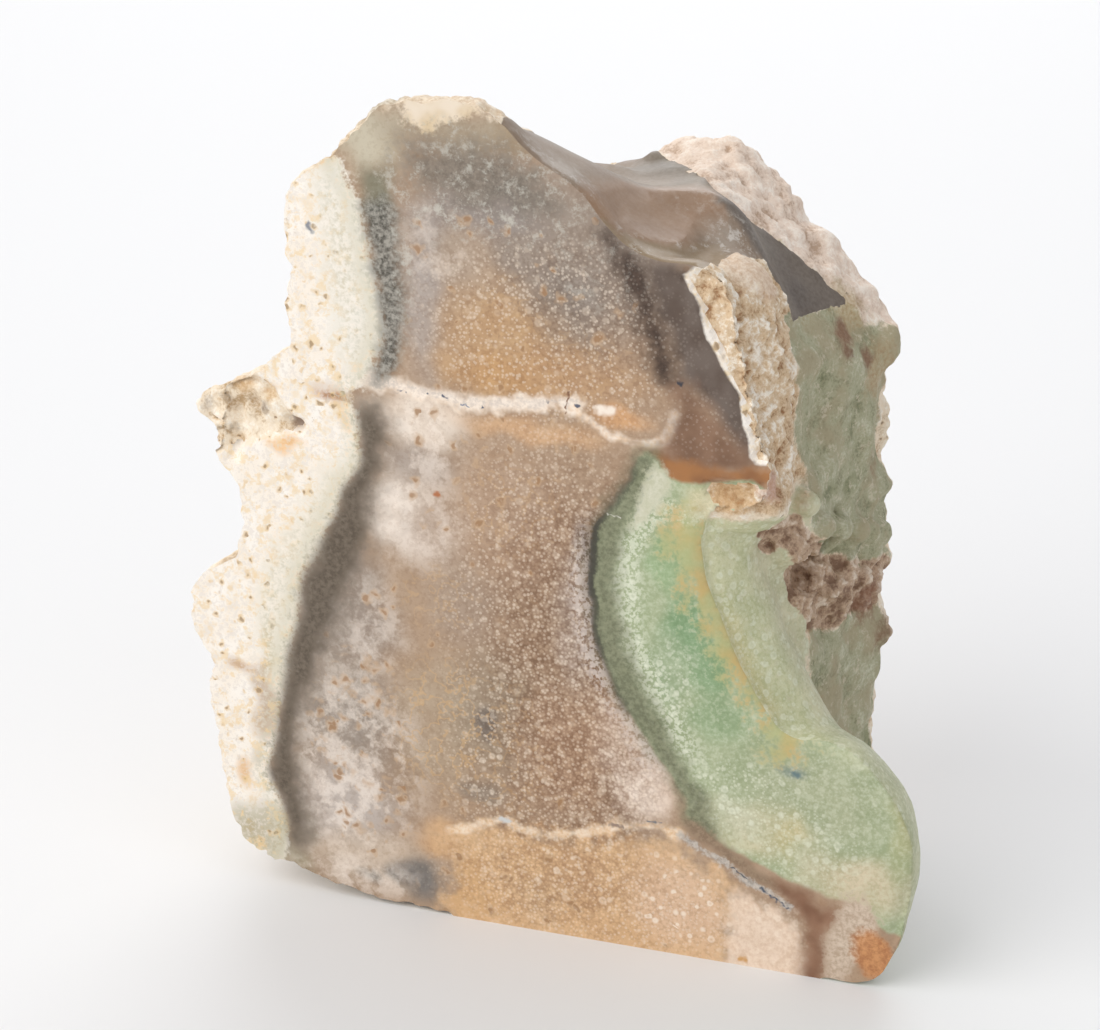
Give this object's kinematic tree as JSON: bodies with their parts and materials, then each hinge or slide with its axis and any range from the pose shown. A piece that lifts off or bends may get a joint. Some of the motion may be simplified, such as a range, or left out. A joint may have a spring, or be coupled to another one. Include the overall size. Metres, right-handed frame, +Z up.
{
  "type": "agate and fluorite specimen",
  "caption": "Natural stone specimen with a flat sawn front, rough rind sides, a glassy broken top and a small flat spot that it rests on.",
  "frame": {"origin": "middle of the bounding box at its bottom, on the plane of the flat spot that the stone rests on", "axes": "+X runs right along the sawn face as seen from the front, +Y goes into the stone away from the sawn face, +Z is up"},
  "size_m": [0.0794, 0.0404, 0.0888],
  "materials": {
    "agate": "polished sawn front and glassy fracture, rough natural rind elsewhere"
  },
  "bodies": {
    "root": {"agate_stone": "agate"}
  },
  "joints": []
}
